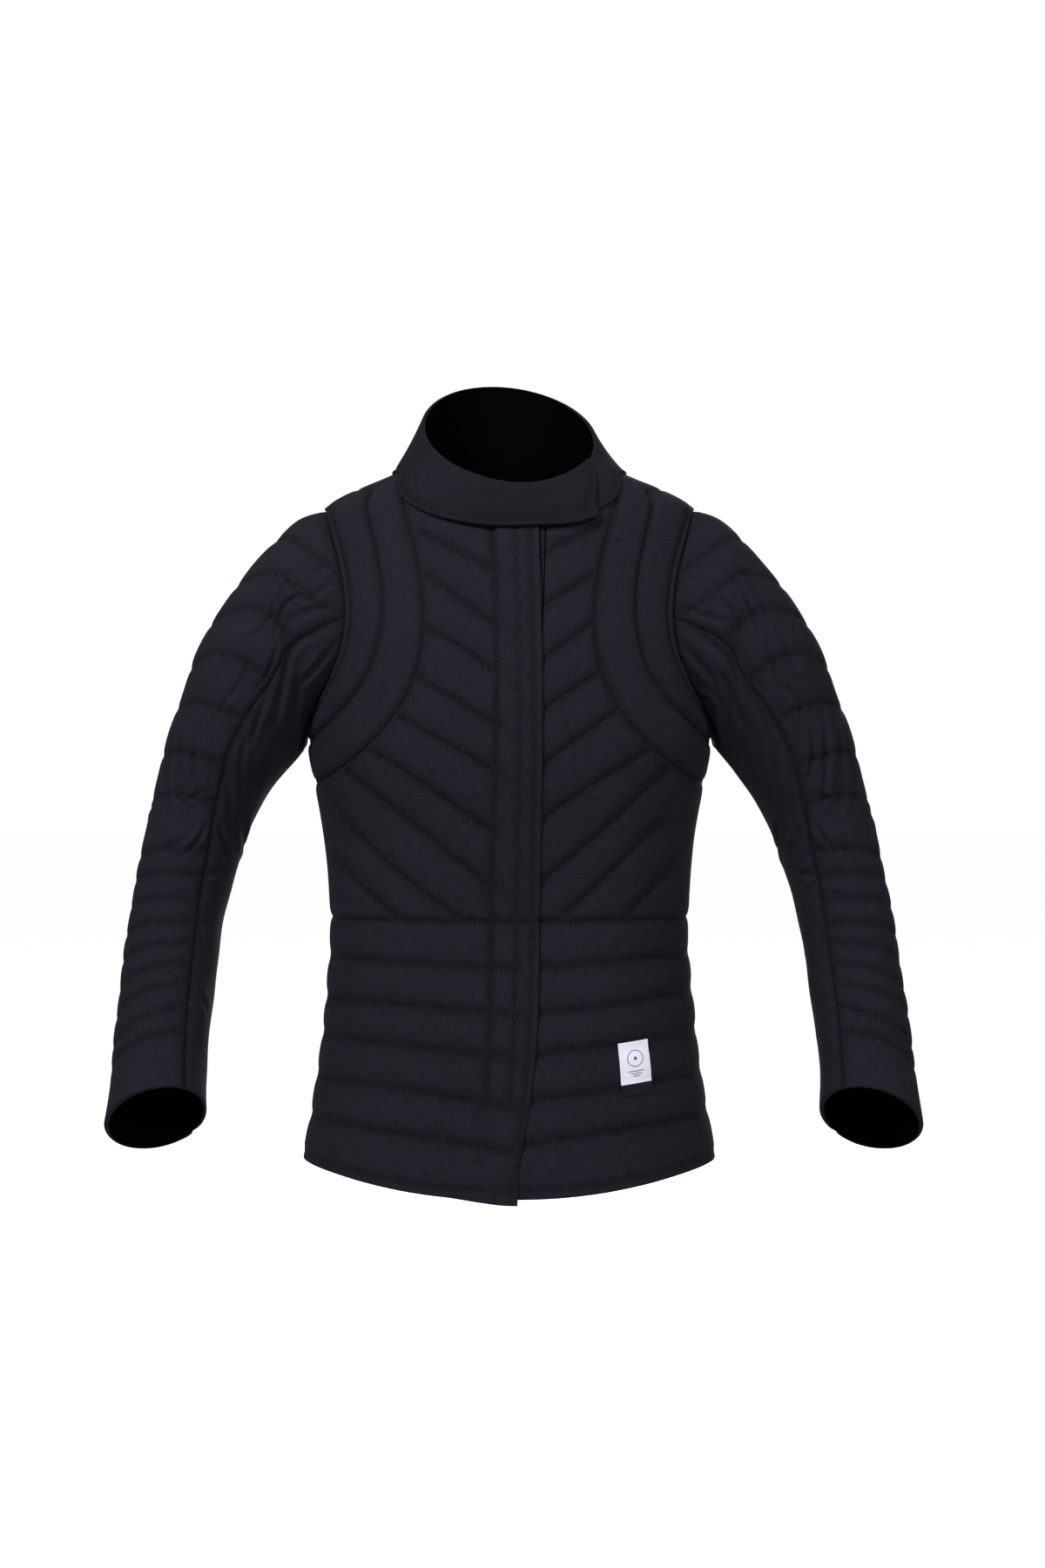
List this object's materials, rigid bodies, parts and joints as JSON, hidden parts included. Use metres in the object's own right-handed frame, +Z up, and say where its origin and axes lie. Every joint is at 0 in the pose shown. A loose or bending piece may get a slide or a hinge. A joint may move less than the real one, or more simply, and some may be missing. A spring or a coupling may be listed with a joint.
{
  "type": "fencing jacket",
  "caption": "Padded fencing jacket, hollow as when worn, with quilted fronts, a waist seam, shoulder bands, two-piece sleeves, a lap over a zip and a stand collar with a tab end.",
  "frame": {"origin": "middle of the neck, level with the inner ends of the shoulder seams, where the wearer's shoulders hold the jacket", "axes": "+Z up, the front faces -Y, +X towards the wearer's left"},
  "size_m": [0.744, 0.2523, 0.7556],
  "materials": {
    "quilted_cloth": "padded plain weave in a very dark blue black, quilted in channels",
    "collar_cloth": "smooth plain weave in a very dark blue black, topstitched at the edges",
    "zip_tape": "black woven tape with moulded teeth",
    "label_cloth": null,
    "tab_cloth": "dark woven tab, bare"
  },
  "bodies": {
    "root": {"front_right_chest": "quilted_cloth", "front_left_chest": "quilted_cloth", "front_right_skirt": "quilted_cloth", "front_left_skirt": "quilted_cloth", "back_chest": "quilted_cloth", "back_skirt": "quilted_cloth", "shoulder_band_outer_right": "quilted_cloth", "shoulder_band_inner_right": "quilted_cloth", "shoulder_band_outer_left": "quilted_cloth", "shoulder_band_inner_left": "quilted_cloth", "sleeve_right_upper": "quilted_cloth", "sleeve_right_under": "quilted_cloth", "sleeve_left_upper": "quilted_cloth", "sleeve_left_under": "quilted_cloth", "collar": "collar_cloth", "zip": "zip_tape", "label": "label_cloth", "label_tab": "tab_cloth"}
  },
  "joints": []
}
